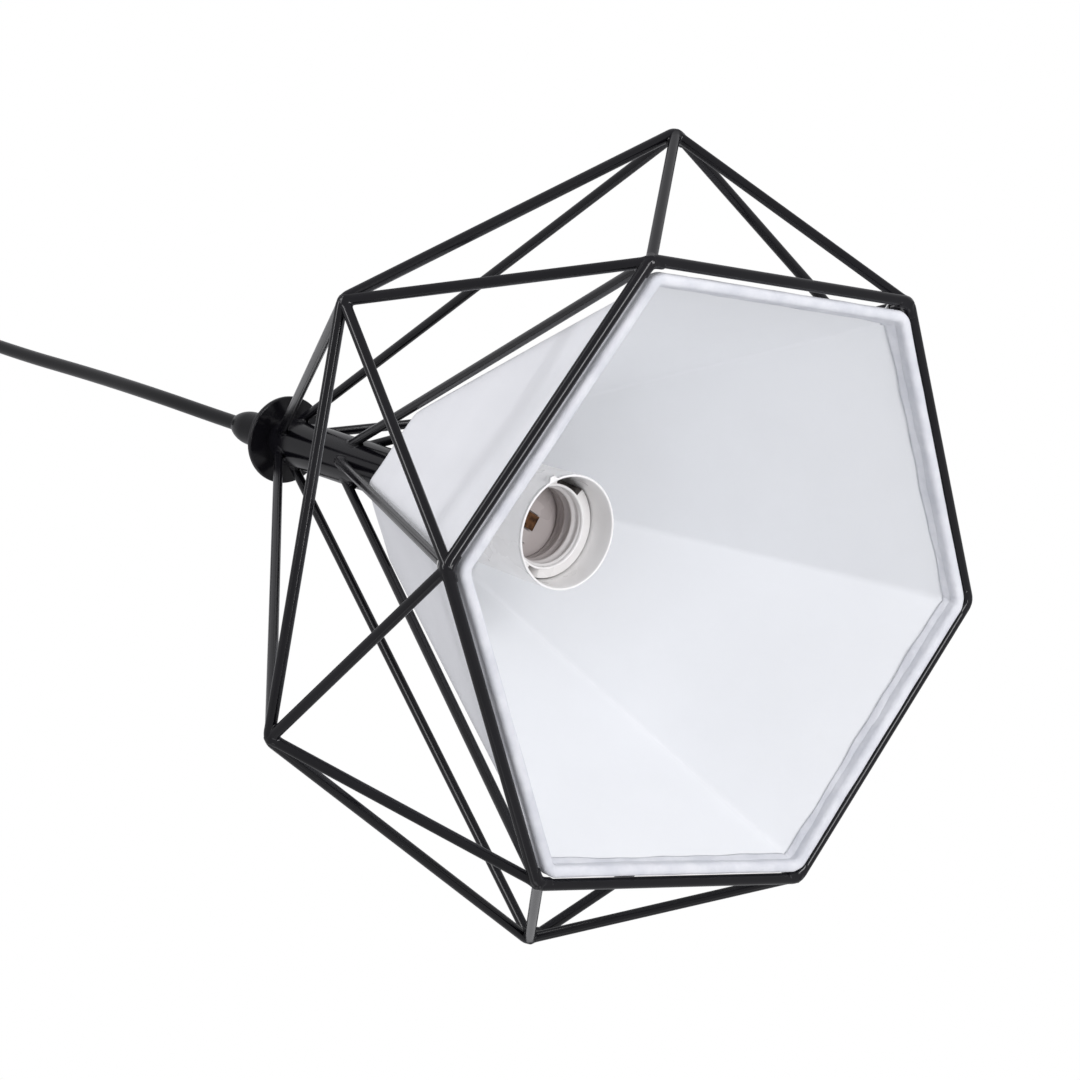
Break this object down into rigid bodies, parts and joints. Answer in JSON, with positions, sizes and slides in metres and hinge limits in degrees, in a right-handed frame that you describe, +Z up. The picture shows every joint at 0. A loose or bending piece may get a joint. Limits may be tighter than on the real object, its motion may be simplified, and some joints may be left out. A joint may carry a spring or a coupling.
{
  "type": "pendant lamp",
  "caption": "Pendant lamp with a faceted black wire cage around a white six-sided fabric shade, hung by a cord from a small ceiling cup.",
  "frame": {"origin": "centre of the ceiling face that the bracket and the cup's rim bear on, on the lamp's axis", "axes": "+Z up along the cord and the lamp; +X through a corner of the lower ring and along the ceiling bracket"},
  "size_m": [0.2314, 0.2652, 0.5924],
  "materials": {
    "black_powder_coat": "satin black powder coat",
    "black_cup_paint": "satin black paint",
    "black_grip_plastic": "moulded black plastic",
    "clear_nylon": "natural nylon",
    "black_cord_pvc": "soft black PVC",
    "core_insulation": "extruded PVC insulation",
    "zinc_plated_steel": "zinc plate",
    "black_screw": "blackened steel",
    "brass": "stamped brass",
    "white_holder_plastic": "moulded white plastic",
    "block_plastic": "moulded white plastic",
    "white_shade_fabric": "white cloth on a laminate backing",
    "white_hem_tape": "white cloth tape, rolled",
    "white_coated_wire": "white coated wire",
    "white_thread": "white thread"
  },
  "bodies": {
    "ceiling": {"ceiling_bracket": "zinc_plated_steel", "canopy_cup": "black_cup_paint", "canopy_grip": "black_grip_plastic", "canopy_nut": "zinc_plated_steel", "canopy_cord": "black_cord_pvc", "canopy_cores": "core_insulation", "terminal_block": "block_plastic", "cup_screws": "black_screw"},
    "cord": {"pendant_cord": "black_cord_pvc"},
    "centre_tongue": {"centre_contact": "brass"},
    "side_tongue": {"side_contact": "brass"},
    "lamp": {"cage_brace_01": "black_powder_coat", "cage_brace_02": "black_powder_coat", "cage_brace_03": "black_powder_coat", "cage_brace_04": "black_powder_coat", "cage_brace_05": "black_powder_coat", "cage_brace_06": "black_powder_coat", "cage_brace_07": "black_powder_coat", "cage_brace_08": "black_powder_coat", "cage_brace_09": "black_powder_coat", "cage_brace_10": "black_powder_coat", "cage_brace_11": "black_powder_coat", "cage_brace_12": "black_powder_coat", "centre_contact_foot": "brass", "collar_disc": "black_powder_coat", "contact_base": "white_holder_plastic", "cord_grip": "black_grip_plastic", "cord_grip_screw": "clear_nylon", "corner_ties": "white_thread", "crown_spoke_1": "black_powder_coat", "crown_spoke_2": "black_powder_coat", "crown_spoke_3": "black_powder_coat", "crown_spoke_4": "black_powder_coat", "crown_spoke_5": "black_powder_coat", "crown_spoke_6": "black_powder_coat", "holder_cap": "white_holder_plastic", "holder_cores": "core_insulation", "holder_skirt": "white_holder_plastic", "holder_terminals": "brass", "neck_cord": "black_cord_pvc", "neck_foot": "black_powder_coat", "neck_rod": "zinc_plated_steel", "neck_tube": "black_powder_coat", "neck_washer": "zinc_plated_steel", "rim_ring": "black_powder_coat", "shade_hem": "white_hem_tape", "shade_hem_wire": "white_coated_wire", "shade_skin": "white_shade_fabric", "shade_spoke_1": "black_powder_coat", "shade_spoke_2": "black_powder_coat", "shade_spoke_3": "black_powder_coat", "shade_spoke_4": "black_powder_coat", "shade_spoke_5": "black_powder_coat", "shade_spoke_6": "black_powder_coat", "shade_top_wire": "white_coated_wire", "terminal_screws": "brass", "thread_sleeve": "white_holder_plastic", "waist_ring": "black_powder_coat"}
  },
  "joints": [
    {"name": "cord_swing", "type": "hinge", "parent": "ceiling", "child": "cord", "pos_m": [0, 0, -0.045], "axis": [1, 0, 0], "range_deg": [-30, 30]},
    {"name": "lamp_swing", "type": "hinge", "parent": "cord", "child": "lamp", "pos_m": [0, 0, -0.3105], "axis": [0, 1, 0], "range_deg": [-30, 30]},
    {"name": "centre_contact_press", "type": "hinge", "parent": "lamp", "child": "centre_tongue", "pos_m": [0.00639, -0.00481, -0.48945], "axis": [0.6018, 0.7986, 0], "range_deg": [0, 7], "stiffness_Nm_per_rad": 0.3},
    {"name": "side_contact_press", "type": "hinge", "parent": "lamp", "child": "side_tongue", "pos_m": [0, -0.0125, -0.48945], "axis": [-1, 0, 0], "range_deg": [0, 5], "stiffness_Nm_per_rad": 0.3}
  ]
}
